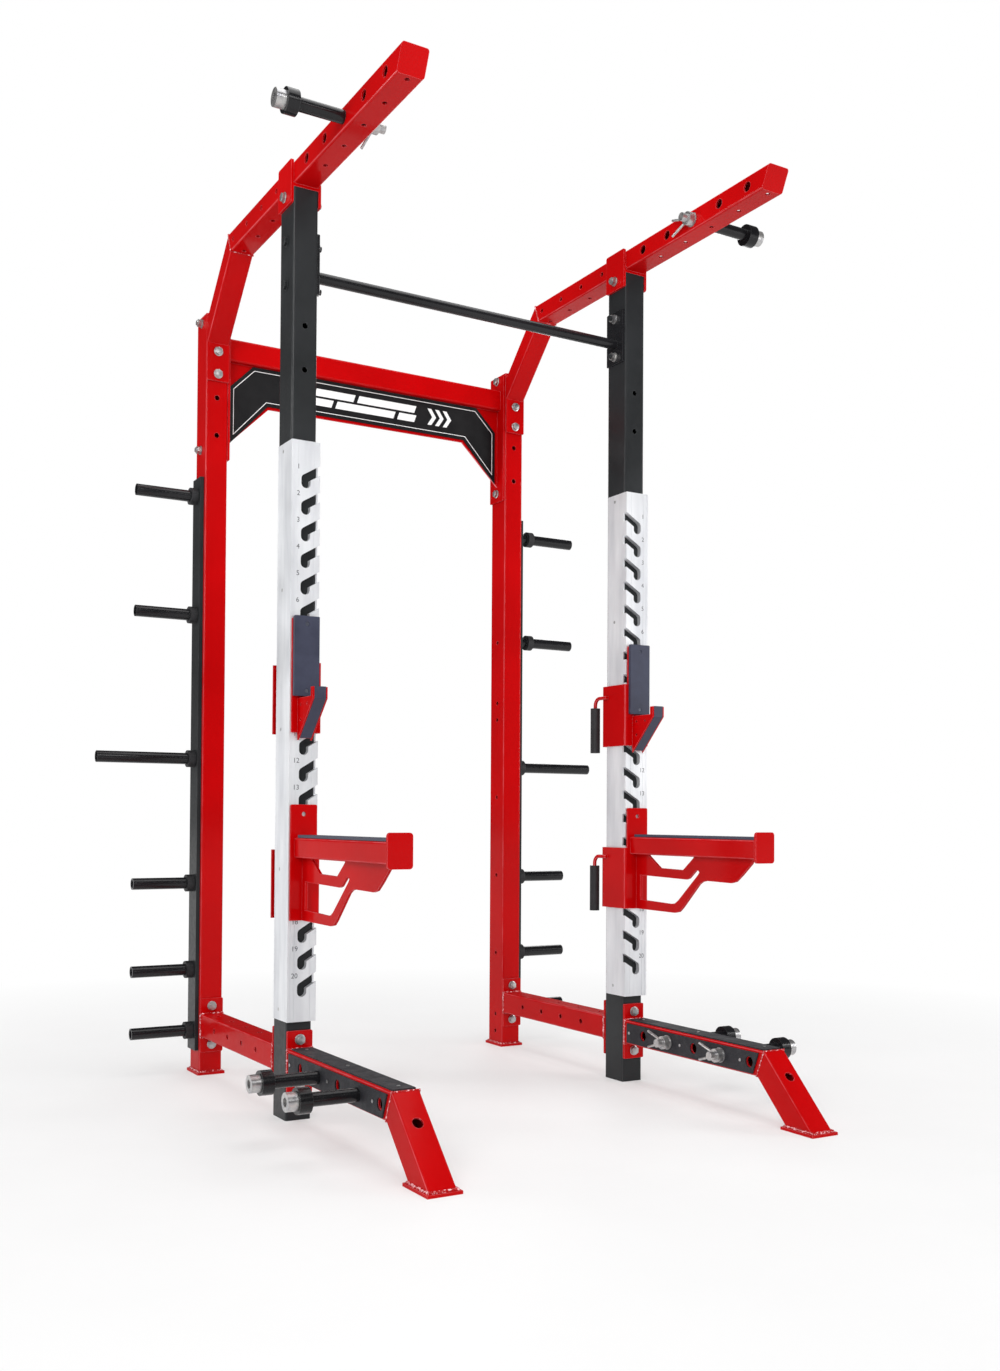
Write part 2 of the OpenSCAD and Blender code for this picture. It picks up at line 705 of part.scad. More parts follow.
// A bent rod welded along the side plate's inner face, turning down into the grip
module handle_rod(grip_z) {
    top = grip_z + grip_l + 8;
    bend_y = handle_y - rod_bend_r;
    translate([handle_x, 0, top + rod_bend_r]) rod_y(handle_start, bend_y, rod_d);
    translate([handle_x, bend_y, top]) rotate([90, 0, 90])
        rotate_extrude(angle = 90, $fn = FINE) translate([rod_bend_r, 0]) circle(d = rod_d, $fn = FINE);
    translate([handle_x, handle_y, grip_z + 6]) cylinder(h = top - grip_z - 6, d = rod_d, $fn = FINE);
}

module grip(grip_z) {
    translate([handle_x, handle_y, grip_z]) difference() {
        cylinder(h = grip_l, d = grip_d, $fn = FINE);
        translate([0, 0, 5]) cylinder(h = grip_l, d = rod_d + 2 * FIT, $fn = FINE);
    }
}

// ---------- cups ----------

module cup_bracket(side) {
    in_y = hook_tip_y + hook_t;
    under = hook_t * sqrt(2) + FIT;
    inside = under + hook_plate_t * sqrt(2);
    plate_y = sleeve_front - sleeve_t + 1;
    shelf_z = hook_shelf_z - hook_t;
    hollow_z = shelf_z - hook_plate_t;
    edge_y = hook_tip_y + hook_inset;
    back_y = in_y + hook_lip + hook_t - hook_inset;
    color("#c8102a") at_post(side) {
        sleeve(cup_z0, cup_side_z1, cup_top_z, cup_slot, cup_slot + 3);
        side_slab(hook_w) difference() {
            polygon([[plate_y, hook_line - plate_y + under], [in_y, hook_line - in_y + under],
                [in_y, hook_tip_z - hook_t - FIT], [in_y + hook_lip, hook_tip_z - hook_t - FIT],
                [in_y + hook_lip, shelf_z], [plate_y, shelf_z]]);
            polygon([[plate_y + CUT, hook_line - plate_y - CUT + inside],
                [hook_line + inside - hollow_z, hollow_z], [plate_y + CUT, hollow_z]]);
        }
        for (x = [-hook_w / 2 - hook_side_t / 2, hook_w / 2 + hook_side_t / 2])
            translate([x, 0, 0]) difference() {
                side_slab(hook_side_t) polygon([[plate_y, hook_line - plate_y + hook_inset * sqrt(2)],
                    [edge_y, hook_line - edge_y + hook_inset * sqrt(2)], [edge_y, hook_tip_z - hook_inset],
                    [back_y, hook_tip_z - hook_inset], [back_y, hook_shelf_z - hook_inset],
                    [plate_y, hook_shelf_z - hook_inset]]);
                for (p = [[-46, 1177], [-92, 1177], [-46, 1134]])
                    translate([0, p[0], p[1]]) rod_x(-hook_w, hook_w, 8);
            }
        handle_rod(cup_grip_z);
    }
}

module cup_pad(side) {
    color("#34363d") at_post(side)
        translate([0, sleeve_front - sleeve_t - FIT, 0]) difference() {
            rotate([90, 0, 0]) linear_extrude(cup_pad_t) translate([0, (cup_pad_z0 + cup_pad_z1) / 2])
                polygon(round_rect(cup_pad_w, cup_pad_z1 - cup_pad_z0, 3));
            for (z = [cup_pad_z0 + 15, cup_pad_z1 - 23])
                translate([0, 0, z]) rod_y(-cup_pad_t - CUT, -cup_pad_t + 5, 12);
        }
}

module cup_screws(side) {
    color("#6f7276") at_post(side) for (z = [cup_pad_z0 + 15, cup_pad_z1 - 23])
        translate([0, sleeve_front - sleeve_t - FIT - cup_pad_t, z]) rod_y(1, 4.8, 11);
}

// Plastic liner round the hook: sloping underside, tip and shelf
module cup_liner(side) {
    under = hook_t * sqrt(2);
    tip = hook_tip_y;
    in_y = tip + hook_t;
    pad_y = sleeve_front - sleeve_t - cup_pad_t - 2 * FIT;
    start = pad_y + 6;
    color("#2a2c33") at_post(side) side_slab(hook_liner_w) polygon([
        [start, hook_line - start], [tip, hook_line - tip], [tip, hook_tip_z],
        [in_y + hook_lip + hook_t, hook_tip_z], [in_y + hook_lip + hook_t, hook_shelf_z],
        [pad_y, hook_shelf_z], [pad_y, hook_shelf_z - hook_t + FIT],
        [in_y + hook_lip + FIT, hook_shelf_z - hook_t + FIT],
        [in_y + hook_lip + FIT, hook_tip_z - hook_t], [in_y - FIT, hook_tip_z - hook_t],
        [in_y - FIT, hook_line - in_y + under], [start + hook_t / 2, hook_line - start + under - hook_t / 2]]);
}

module cup_grip(side) {
    color("#141518") at_post(side) grip(cup_grip_z);
}

// ---------- spotter arms ----------

// Cut-out rib under the arm, in the Y, Z plane
module spotter_rib() {
    z = spotter_tube_z + 1;
    difference() {
        polygon([[sleeve_front - 3, z], [sleeve_front - 3, 567], [-226, 565], [-248, 569], [-266, 583],
            [-347, 660], [-362, 668], [-382, 672], [-496, 670], [-518, 675], [-545, 695], [-588, 731],
            [-594, z]]);
        polygon([[-92, z + 1], [-92, z - 4], [-151, 703], [-268, 701], [-318, z - 6], [-322, z + 1]]);
        polygon([[-46, 677], [-285, 672], [-298, 676], [-330, 701], [-341, 703], [-348, 697],
            [-342, 689], [-243, 604], [-228, 595], [-206, 592], [-46, 597]]);
    }
}

module spotter_bracket(side) {
    arm_y = sleeve_front - sleeve_t;
    end_y = arm_y - spotter_l;
    color("#c8102a") at_post(side) {
        difference() {
            sleeve(spotter_z0, spotter_side_z1, spotter_top_z, spotter_slot, spotter_slot + 3);
            translate([0, 0, spotter_top_z - 27]) rod_y(2 * arm_y, sleeve_front + CUT, 13);
        }
        translate([0, 0, spotter_tube_z + spotter_tube / 2])
            cut_tube(spotter_tube, spotter_tube, end_y + 1, arm_y + 1, 0, 0, 0, 0);
        translate([0, end_y + 1, 0]) rotate([90, 0, 0]) linear_extrude(plate_t)
            translate([0, end_z0 + end_h / 2]) polygon(round_rect(end_w, end_h, 9));
        side_slab(rib_t) spotter_rib();
        handle_rod(spotter_grip_z);
    }
}

module spotter_strip(side) {
    arm_y = sleeve_front - sleeve_t;
    color("#26282d") at_post(side)
        translate([-strip_w / 2, arm_y - spotter_l + 1 + FIT, spotter_tube_z + spotter_tube + FIT])
            cube([strip_w, spotter_l - 18, strip_t]);
}

module spotter_grip(side) {
    color("#141518") at_post(side) grip(spotter_grip_z);
}

// ---------- band pegs ----------

// Places children on a band peg's axis, +X outwards, x = 0 in the middle of the tube
module at_peg(side, peg) {
    at_post(side) translate([0, peg_places[peg][0], peg_places[peg][1]]) children();
}

module each_peg() {
    for (side = [LEFT, RIGHT], $peg = [ARM, REAR, FRONT]) at_peg(side, $peg) children();
}

// Steel shaft with its turned outer end; skin is the pad's thickness on the tube's faces
module band_shaft(skin) {
    face = post_w / 2 + skin + 2 * FIT;
    end_x = face + peg_l + peg_collar_l;
    color("#c2c4c7") {
        rod_x(-post_w / 2 - skin - peg_inner_l, end_x + FIT, peg_shaft_d);
        difference() {
            rod_x(end_x + 2 * FIT, end_x + peg_end_l, peg_end_d);
            hex_x(end_x + peg_end_l - 9, end_x + peg_end_l + CUT, 26);
        }
    }
}

module band_sleeve(skin) {
    face = post_w / 2 + skin + 2 * FIT;
    color("#17181a") difference() {
        union() {
            rod_x(face, face + peg_l + 1, peg_d);
            rod_x(face + peg_l, face + peg_l + peg_collar_l, peg_collar_d);
        }
        rod_x(face - CUT, face + peg_l + peg_collar_l + CUT, peg_shaft_d + 2 * FIT);
    }
}

module nut_washer(skin) {
    face = -post_w / 2 - skin - GAP;
    color("#c2c4c7") difference() {
        rod_x(face - washer_t, face, washer_d);
        rod_x(face - washer_t - CUT, face + CUT, peg_shaft_d + 2 * FIT);
    }
}

// Round nut with two rod handles that point back and spread apart
module wing_nut(skin) {
    face = -post_w / 2 - skin - washer_t - 2 * GAP;
    color("#c2c4c7") difference() {
        union() {
            rod_x(face - hub_l, face, hub_d);
            for (a = [-wing_spread / 2, wing_spread / 2])
                translate([face - hub_l / 2, 0, 0]) rotate([a, 0, 0]) rod_y(wing_start, wing_reach, wing_d);
        }
        rod_x(face - hub_l - CUT, face + CUT, peg_shaft_d + 2 * RUN);
    }
}

// ---------- assembly ----------

front_upright(LEFT);  // front_upright_left
front_upright(RIGHT);  // front_upright_right
slot_cover(LEFT);  // slot_cover_left
slot_cover(RIGHT);  // slot_cover_right
rear_upright(LEFT);  // rear_upright_left
rear_upright(RIGHT);  // rear_upright_right
base_tube(LEFT);  // base_tube_left
base_tube(RIGHT);  // base_tube_right
top_arm(LEFT);  // top_arm_left
top_arm(RIGHT);  // top_arm_right
arm_brace(LEFT);  // arm_brace_left
arm_brace(RIGHT);  // arm_brace_right
pull_up_bar();
crossmember();
sign_panel();
foot(LEFT);  // foot_left
foot(RIGHT);  // foot_right
foot_leg(LEFT);  // foot_leg_left
foot_leg(RIGHT);  // foot_leg_right
foot_pads();
storage_rails();
storage_sleeves();
storage_collars();
upright_caps();
frame_bolts();
frame_nuts();
bar_bolts();
cover_screws();
pad_screws();
cup_bracket(LEFT);  // cup_bracket_left
cup_bracket(RIGHT);  // cup_bracket_right
cup_pad(LEFT);  // cup_pad_left
cup_pad(RIGHT);  // cup_pad_right
cup_liner(LEFT);  // cup_liner_left
cup_liner(RIGHT);  // cup_liner_right
cup_grip(LEFT);  // cup_grip_left
cup_grip(RIGHT);  // cup_grip_right
cup_screws(LEFT);  // cup_screws_left
cup_screws(RIGHT);  // cup_screws_right
spotter_bracket(LEFT);  // spotter_bracket_left
spotter_bracket(RIGHT);  // spotter_bracket_right
spotter_strip(LEFT);  // spotter_strip_left
spotter_strip(RIGHT);  // spotter_strip_right
spotter_grip(LEFT);  // spotter_grip_left
spotter_grip(RIGHT);  // spotter_grip_right
each_peg() band_shaft(peg_skin($peg));  // band_shafts
each_peg() band_sleeve(peg_skin($peg));  // band_sleeves
at_peg(LEFT, ARM) nut_washer(peg_skin(ARM));  // nut_washer_arm_left
at_peg(RIGHT, ARM) nut_washer(peg_skin(ARM));  // nut_washer_arm_right
at_peg(LEFT, REAR) nut_washer(peg_skin(REAR));  // nut_washer_rear_left
at_peg(RIGHT, REAR) nut_washer(peg_skin(REAR));  // nut_washer_rear_right
at_peg(LEFT, FRONT) nut_washer(peg_skin(FRONT));  // nut_washer_front_left
at_peg(RIGHT, FRONT) nut_washer(peg_skin(FRONT));  // nut_washer_front_right
at_peg(LEFT, ARM) wing_nut(peg_skin(ARM));  // wing_nut_arm_left
at_peg(RIGHT, ARM) wing_nut(peg_skin(ARM));  // wing_nut_arm_right
at_peg(LEFT, REAR) wing_nut(peg_skin(REAR));  // wing_nut_rear_left
at_peg(RIGHT, REAR) wing_nut(peg_skin(REAR));  // wing_nut_rear_right
at_peg(LEFT, FRONT) wing_nut(peg_skin(FRONT));  // wing_nut_front_left
at_peg(RIGHT, FRONT) wing_nut(peg_skin(FRONT));  // wing_nut_front_right
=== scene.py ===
"""Looks for the power cage: materials, trim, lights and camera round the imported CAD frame. Metres."""
import json
import math
import random

import bpy
import bmesh
from mathutils import Matrix, Vector


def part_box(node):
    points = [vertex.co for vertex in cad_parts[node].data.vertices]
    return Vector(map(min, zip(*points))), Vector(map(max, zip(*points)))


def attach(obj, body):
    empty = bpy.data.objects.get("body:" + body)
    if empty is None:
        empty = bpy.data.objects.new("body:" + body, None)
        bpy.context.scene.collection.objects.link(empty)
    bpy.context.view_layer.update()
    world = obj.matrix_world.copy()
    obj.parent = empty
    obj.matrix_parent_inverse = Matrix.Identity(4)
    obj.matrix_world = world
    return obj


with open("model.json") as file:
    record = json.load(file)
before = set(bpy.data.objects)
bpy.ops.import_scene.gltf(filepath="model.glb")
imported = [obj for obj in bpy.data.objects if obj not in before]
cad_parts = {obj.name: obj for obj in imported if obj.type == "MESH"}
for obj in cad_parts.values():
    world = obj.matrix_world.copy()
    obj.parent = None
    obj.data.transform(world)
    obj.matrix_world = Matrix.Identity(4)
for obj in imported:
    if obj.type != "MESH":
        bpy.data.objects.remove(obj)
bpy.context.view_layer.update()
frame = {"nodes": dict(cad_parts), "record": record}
nodes = frame["nodes"]
MM = 0.001
SIDES = {"left": -1, "right": 1}
# an upright's centre line and half its width, which the arms and feet share
POST_X = 0.5842
POST_HALF = 0.0381

# ---------------------------------------------------------------- materials
# Colours are linear RGB, noise scales are features a metre, and distances are metres.

# how far a rounded corner's middle, where the painted highlight runs, turns from the X axis: just past the
# cosine of 45 degrees
CORNER_TURN = 0.72
# the radius that finds sharp edges, which take lighter wear and a painted highlight
EDGE_WEAR_AND_HIGHLIGHT_RADIUS = 0.0016


def new_material(name):
    mat = bpy.data.materials.new(name)
    mat.use_nodes = True
    tree = mat.node_tree
    return mat, tree, tree.nodes["Principled BSDF"]


def node(tree, kind, **values):
    made = tree.nodes.new(kind)
    for key, value in values.items():
        setattr(made, key, value)
    return made


def coords(tree, stretch=(1, 1, 1)):
    """Object coordinates, stretched, so that a pattern keeps its real size and moves with its piece."""
    place = node(tree, "ShaderNodeTexCoord")
    mapping = node(tree, "ShaderNodeMapping")
    mapping.inputs["Scale"].default_value = stretch
    tree.links.new(place.outputs["Object"], mapping.inputs["Vector"])
    return mapping.outputs["Vector"]


def noise(tree, vector, scale, detail=3.0, rough=0.5):
    made = node(tree, "ShaderNodeTexNoise")
    made.inputs["Scale"].default_value = scale
    made.inputs["Detail"].default_value = detail
    made.inputs["Roughness"].default_value = rough
    tree.links.new(vector, made.inputs["Vector"])
    return made.outputs["Fac"]


def remap(tree, value, low, high, start=0.3, end=0.7):
    made = node(tree, "ShaderNodeMapRange")
    for key, number in (("From Min", start), ("From Max", end), ("To Min", low), ("To Max", high)):
        made.inputs[key].default_value = number
    tree.links.new(value, made.inputs["Value"])
    return made.outputs["Result"]


def blend_colour(tree, factor, first, second):
    made = node(tree, "ShaderNodeMix", data_type="RGBA")
    made.inputs["A"].default_value = (*first, 1)
    made.inputs["B"].default_value = (*second, 1)
    tree.links.new(factor, made.inputs["Factor"])
    return made.outputs["Result"]


def bump(tree, shader, heights):
    """Chains bumps: each is (height value, strength, distance in metres)."""
    normal = None
    for height, strength, distance in heights:
        made = node(tree, "ShaderNodeBump")
        made.inputs["Strength"].default_value = strength
        made.inputs["Distance"].default_value = distance
        tree.links.new(height, made.inputs["Height"])
        if normal:
            tree.links.new(normal, made.inputs["Normal"])
        normal = made.outputs["Normal"]
    tree.links.new(normal, shader.inputs["Normal"])


def edge_mask(tree, radius, patches):
    """1 along sharp edges, broken up by a noise: where a finish wears first, and where a painted highlight
    goes.
    """
    rounded = node(tree, "ShaderNodeBevel", samples=4)
    rounded.inputs["Radius"].default_value = radius
    place = node(tree, "ShaderNodeNewGeometry")
    # the rounded normal leans away from the face's own only near an edge
    dot = node(tree, "ShaderNodeVectorMath", operation="DOT_PRODUCT")
    tree.links.new(rounded.outputs["Normal"], dot.inputs[0])
    tree.links.new(place.outputs["Normal"], dot.inputs[1])
    edge = remap(tree, dot.outputs["Value"], 0, 1, 0.985, 0.80)
    broken = node(tree, "ShaderNodeMath", operation="MULTIPLY")
    tree.links.new(edge, broken.inputs[0])
    tree.links.new(patches, broken.inputs[1])
    return broken.outputs["Value"]


def corner_mask(tree, patches):
    """1 along the middle of a tube's rounded corners and a plate's bends: a painted highlight line there,
    whatever the lamps.
    """
    place = node(tree, "ShaderNodeTexCoord")
    parts = node(tree, "ShaderNodeSeparateXYZ")
    tree.links.new(place.outputs["Normal"], parts.inputs["Vector"])
    value = parts.outputs["X"]
    for operation, number in (("ABSOLUTE", 0), ("SUBTRACT", CORNER_TURN), ("ABSOLUTE", 0)):
        made = node(tree, "ShaderNodeMath", operation=operation)
        made.inputs[1].default_value = number
        tree.links.new(value, made.inputs[0])
        value = made.outputs["Value"]
    broken = node(tree, "ShaderNodeMath", operation="MULTIPLY")
    tree.links.new(remap(tree, value, 1, 0, 0.04, 0.15), broken.inputs[0])
    tree.links.new(patches, broken.inputs[1])
    return broken.outputs["Value"]


def powder_coat(name, dark, light, rough, specular, coat, highlight_and_wear_colour,
                tone_and_glint_scale=3.5, tone_and_glint_cut=(0.3, 0.7)):
    """Sprayed powder coat: slight orange peel, and colour and gloss that wander a little over the surface,
    which at a fine scale and a narrow cut make painted glints. The last colour lightens sharp edges as wear
    and painted highlight, and paints a highlight along the middle of rounded corners.
    """
    mat, tree, shader = new_material(name)
    place = coords(tree)
    tone_and_glint = noise(tree, place, tone_and_glint_scale, 4)
    peel = noise(tree, place, 420, 2)
    fine = noise(tree, place, 60, 5, 0.6)
    patches = remap(tree, noise(tree, place, 16, 4), 0.15, 0.8)
    # edge wear with its painted highlight, and the painted corner highlight, whichever is stronger
    painted_highlight_and_wear = node(tree, "ShaderNodeMath", operation="MAXIMUM")
    tree.links.new(edge_mask(tree, EDGE_WEAR_AND_HIGHLIGHT_RADIUS, patches), painted_highlight_and_wear.inputs[0])
    tree.links.new(corner_mask(tree, patches), painted_highlight_and_wear.inputs[1])
    body = blend_colour(tree, remap(tree, tone_and_glint, 0, 1, *tone_and_glint_cut), dark, light)
    colour = node(tree, "ShaderNodeMix", data_type="RGBA")
    tree.links.new(painted_highlight_and_wear.outputs["Value"], colour.inputs["Factor"])
    tree.links.new(body, colour.inputs["A"])
    colour.inputs["B"].default_value = (*highlight_and_wear_colour, 1)
    tree.links.new(colour.outputs["Result"], shader.inputs["Base Color"])
    tree.links.new(remap(tree, fine, rough - 0.06, rough + 0.08), shader.inputs["Roughness"])
    shader.inputs["Specular IOR Level"].default_value = specular
    shader.inputs["Coat Weight"].default_value = coat
    shader.inputs["Coat Roughness"].default_value = 0.10
    bump(tree, shader, [(peel, 0.05, 0.0003)])
    return mat


def brushed_metal(name, dark, light, stretch, rough, metallic, scratch):
    """Metal brushed along one axis: long fine lines in height, gloss and colour."""
    mat, tree, shader = new_material(name)
    lines = noise(tree, coords(tree, stretch), 900, 3, 0.6)
    broad = noise(tree, coords(tree, tuple(0.12 * s + 0.02 for s in stretch)), 130, 3, 0.55)
    cloud = noise(tree, coords(tree), 5, 4)
    tree.links.new(blend_colour(tree, remap(tree, broad, 0, 1), dark, light), shader.inputs["Base Color"])
    tree.links.new(remap(tree, cloud, rough - 0.07, rough + 0.09), shader.inputs["Roughness"])
    shader.inputs["Metallic"].default_value = metallic
    bump(tree, shader, [(lines, scratch, 0.0003), (broad, scratch * 0.5, 0.0004)])
    return mat


def zinc(name):
    """Bright zinc plate with faint cloudy passivation and fine scratches."""
    mat, tree, shader = new_material(name)
    place = coords(tree)
    cloud = noise(tree, place, 70, 4, 0.6)
    fine = noise(tree, place, 900, 3)
    tree.links.new(blend_colour(tree, remap(tree, cloud, 0, 1), (0.34, 0.34, 0.36), (0.58, 0.57, 0.55)),
                   shader.inputs["Base Color"])
    tree.links.new(remap(tree, cloud, 0.26, 0.40), shader.inputs["Roughness"])
    shader.inputs["Metallic"].default_value = 0.85
    bump(tree, shader, [(fine, 0.15, 0.0002)])
    return mat


def moulded(name, dark, light, rough, grain, strength, specular=0.4):
    """Moulded or machined plastic and rubber: a grain of the given scale, with scuffs."""
    mat, tree, shader = new_material(name)
    place = coords(tree)
    scuff = noise(tree, place, 14, 6, 0.65)
    fine = noise(tree, place, grain, 3, 0.6)
    tree.links.new(blend_colour(tree, remap(tree, scuff, 0, 1), dark, light), shader.inputs["Base Color"])
    tree.links.new(remap(tree, scuff, rough - 0.08, rough + 0.1), shader.inputs["Roughness"])
    shader.inputs["Specular IOR Level"].default_value = specular
    bump(tree, shader, [(fine, strength, 0.0006), (scuff, 0.04, 0.001)])
    return mat


def grit(name):
    """Grip sheet: dark rubber with raised grit that catches the light."""
    mat, tree, shader = new_material(name)
    place = coords(tree)
    cells = node(tree, "ShaderNodeTexVoronoi")
    cells.inputs["Scale"].default_value = 420
    tree.links.new(place, cells.inputs["Vector"])
    speck = remap(tree, cells.outputs["Distance"], 1, 0, 0.05, 0.45)
    cloud = noise(tree, place, 25, 5, 0.6)
    colour = blend_colour(tree, speck, (0.010, 0.010, 0.014), (0.045, 0.045, 0.056))
    tree.links.new(colour, shader.inputs["Base Color"])
    tree.links.new(remap(tree, cloud, 0.5, 0.78), shader.inputs["Roughness"])
    shader.inputs["Specular IOR Level"].default_value = 0.45
    bump(tree, shader, [(speck, 0.35, 0.0006)])
    return mat


# each coat's last colour goes on sharp edges, as wear and painted highlight, and along the middle of rounded
# corners, as painted highlight
RED = powder_coat("red_powder_coat", (0.42, 0.0006, 0.0012), (0.51, 0.0009, 0.0018), 0.36, 0.02, 0.16,
                  (0.92, 0.30, 0.34))
BLACK = powder_coat("black_powder_coat", (0.012, 0.013, 0.014), (0.026, 0.028, 0.030), 0.36, 0.14, 0.10,
                    (0.12, 0.125, 0.13))
COVER = brushed_metal("brushed_cover", (0.62, 0.63, 0.66), (0.82, 0.83, 0.85), (1, 1, 0.02), 0.40, 0.55, 0.22)
ZINC = zinc("zinc_plate")
# the weld's light second colour, cut narrowly from a fine noise, paints glints on the bead: painted
# highlights
BEAD = powder_coat("coated_weld", (0.42, 0.001, 0.002), (0.90, 0.50, 0.54), 0.24, 0.20, 0.30,
                   (0.92, 0.60, 0.62), 150, (0.53, 0.60))
NYLON = moulded("machined_nylon", (0.022, 0.025, 0.050), (0.038, 0.043, 0.078), 0.48, 500, 0.12)
GRIP = moulded("grip_rubber", (0.008, 0.008, 0.009), (0.022, 0.022, 0.025), 0.58, 260, 0.45)
SHEET = grit("grip_sheet")
SIGN = moulded("sign_board", (0.004, 0.004, 0.005), (0.009, 0.009, 0.010), 0.40, 700, 0.08, 0.2)
PRINT = moulded("white_print", (0.80, 0.80, 0.80), (0.92, 0.92, 0.92), 0.55, 800, 0.05)
DARK_SCREW = brushed_metal("dark_screw", (0.05, 0.055, 0.08), (0.16, 0.17, 0.21), (1, 1, 1), 0.35, 0.7, 0.1)
INK = moulded("grey_ink", (0.05, 0.05, 0.06), (0.09, 0.09, 0.10), 0.6, 800, 0.05)
GLOSS = powder_coat("gloss_black", (0.006, 0.006, 0.007), (0.012, 0.012, 0.014), 0.24, 0.20, 0.25,
                    (0.12, 0.125, 0.13))

# the material of each slot, and of the few nodes that differ from their slot's
LOOKS = {
    "red_coat": RED, "black_coat": BLACK, "brushed_cover": COVER, "zinc_steel": ZINC,
    "nylon_black": NYLON, "grip_rubber": GRIP, "foot_rubber": SHEET, "sign_face": SIGN,
}
SPECIAL = {"cup_screws": DARK_SCREW, "band_sleeves": GLOSS, "storage_sleeves": GLOSS, "pull_up_bar": GLOSS}
slots = {row["node"]: row["material_slot"] for row in frame["record"]["subparts"]}

EDGE = 0.0011
ROUNDED = ("base_tube", "top_arm", "arm_brace", "foot", "foot_leg", "foot_pads", "cup_bracket", "cup_pad",
           "cup_liner", "spotter_bracket", "spotter_strip", "slot_cover", "sign_panel", "crossmember",
           "upright_caps", "pull_up_bar", "storage_collars", "storage_sleeves", "frame_bolts", "frame_nuts",
           "bar_bolts")


def soften(obj):
    """A small rounded edge, so that edges catch the light as coated steel does."""
    bevel = obj.modifiers.new("edge", "BEVEL")
    bevel.width = EDGE
    bevel.segments = 2
    bevel.limit_method = "ANGLE"
    bevel.angle_limit = math.radians(40)
    bevel.harden_normals = False
    bevel.use_clamp_overlap = True


for name, obj in nodes.items():
    obj.data.materials.clear()
    obj.data.materials.append(SPECIAL.get(name.rsplit("_", 1)[0]) or SPECIAL.get(name) or LOOKS[slots[name]])
    if name.startswith(ROUNDED):
        soften(obj)

# ---------------------------------------------------------------- mesh helpers

# a weld bead's puddles: their length, and how their width dips, swells and strays
PUDDLE = 0.0045
PUDDLE_RINGS = 4
PUDDLE_NECK = 0.82
PUDDLE_SWELL = 0.18
PUDDLE_STRAY = 0.05
BEAD_SIDES = 8


def add_piece(name, mesh, material):
    """A new object for a mesh, riding on the frame body."""
    mesh.materials.clear()
    mesh.materials.append(material)
    obj = bpy.data.objects.new(name, mesh)
    bpy.context.scene.collection.objects.link(obj)
    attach(obj, "frame")


def make(name, bm, material, smooth=True):
    """A new piece from a bmesh, which it uses up."""
    mesh = bpy.data.meshes.new(name)
    bmesh.ops.recalc_face_normals(bm, faces=bm.faces[:])
    bm.to_mesh(mesh)
    bm.free()
    for poly in mesh.polygons:
        poly.use_smooth = smooth
    add_piece(name, mesh, material)


def ring(bm, centre, across, up, radius, count):
    """New vertices round a circle in the plane of across and up."""
    turns = [2 * math.pi * i / count for i in range(count)]
    return [bm.verts.new(centre + across * (radius * math.cos(a)) + up * (radius * math.sin(a)))
            for a in turns]


def join_rings(bm, first, second, shift=0):
    """A band of faces between two rings of as many vertices, the second taken a few places on."""
    count = len(first)
    for i in range(count):
        j = (i + 1) % count
        bm.faces.new((first[i], first[j], second[(j + shift) % count], second[(i + shift) % count]))


def bead(bm, corners, radius):
    """A weld bead round a closed loop: overlapping puddles, as a tube whose width swells and shrinks."""
    path = []
    for a, b in zip(corners, corners[1:] + corners[:1]):
        count = max(1, round((b - a).length / PUDDLE * PUDDLE_RINGS))
        path += [a.lerp(b, i / count) for i in range(count)]
    rings = []
    for i, centre in enumerate(path):
        along = (path[(i + 1) % len(path)] - path[i - 1]).normalized()
        across = along.orthogonal().normalized()
        swell = PUDDLE_SWELL * abs(math.sin(i * math.pi / PUDDLE_RINGS))
        width = PUDDLE_NECK + swell + random.uniform(-PUDDLE_STRAY, PUDDLE_STRAY)
        rings.append(ring(bm, centre, across, along.cross(across), radius * width, BEAD_SIDES))
    for first, second in zip(rings, rings[1:] + rings[:1]):
        # neighbouring rings may start at different angles, so they are joined where the gaps are least
        gaps = [sum((first[i].co - second[(i + k) % BEAD_SIDES].co).length for i in range(BEAD_SIDES))
                for k in range(BEAD_SIDES)]
        join_rings(bm, first, second, gaps.index(min(gaps)))


# ---------------------------------------------------------------- welds

random.seed(7)
# a bead's radius, and the smaller ones at the end plates and at the ground mitres
WELD = 0.0050
END_WELD = WELD * 0.8
MITRE_WELD = WELD * 0.45
WELD_LIFT = 1 * MM
PLATE_T = 8 * MM
TUBE_LOW = 127 * MM
TUBE_HIGH = 203.2 * MM
FOOT_TUBE = 76.2 * MM
ARM_TUBE = 63.5 * MM
REAR_DEPTH = 101.6 * MM
# how far the foot plates reach out in front of the sloping leg and the rear upright
LEG_PLATE_REACH = 9.5 * MM
REAR_PLATE_REACH = 8 * MM
# half of the bend that each mitre makes, in degrees
FOOT_MITRE = 22.5
ARM_MITRE = 22.5


def weld_loop(bm, side, first, second, radius):
    """A bead round a tube as wide as an upright: first and second are the (y, z) of its two runs across."""
    x0 = SIDES[side] * POST_X - POST_HALF
    x1 = SIDES[side] * POST_X + POST_HALF
    corners = [Vector((x0, *first)), Vector((x1, *first)), Vector((x1, *second)), Vector((x0, *second))]
    bead(bm, corners, radius)


def weld_feet(side):
    """Beads on the foot plates, round the sloping leg and the rear upright."""
    z = PLATE_T + WELD_LIFT
    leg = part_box("foot_leg_" + side)[0].y + LEG_PLATE_REACH
    leg_depth = FOOT_TUBE * math.sqrt(2) + WELD_LIFT
    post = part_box("rear_upright_" + side)[0].y + REAR_PLATE_REACH
    for name, y, depth in (("weld_foot_plate_", leg, leg_depth), ("weld_rear_plate_", post, REAR_DEPTH)):
        bm = bmesh.new()
        weld_loop(bm, side, (y, z), (y + depth, z), WELD)
        make(name + side, bm, BEAD)


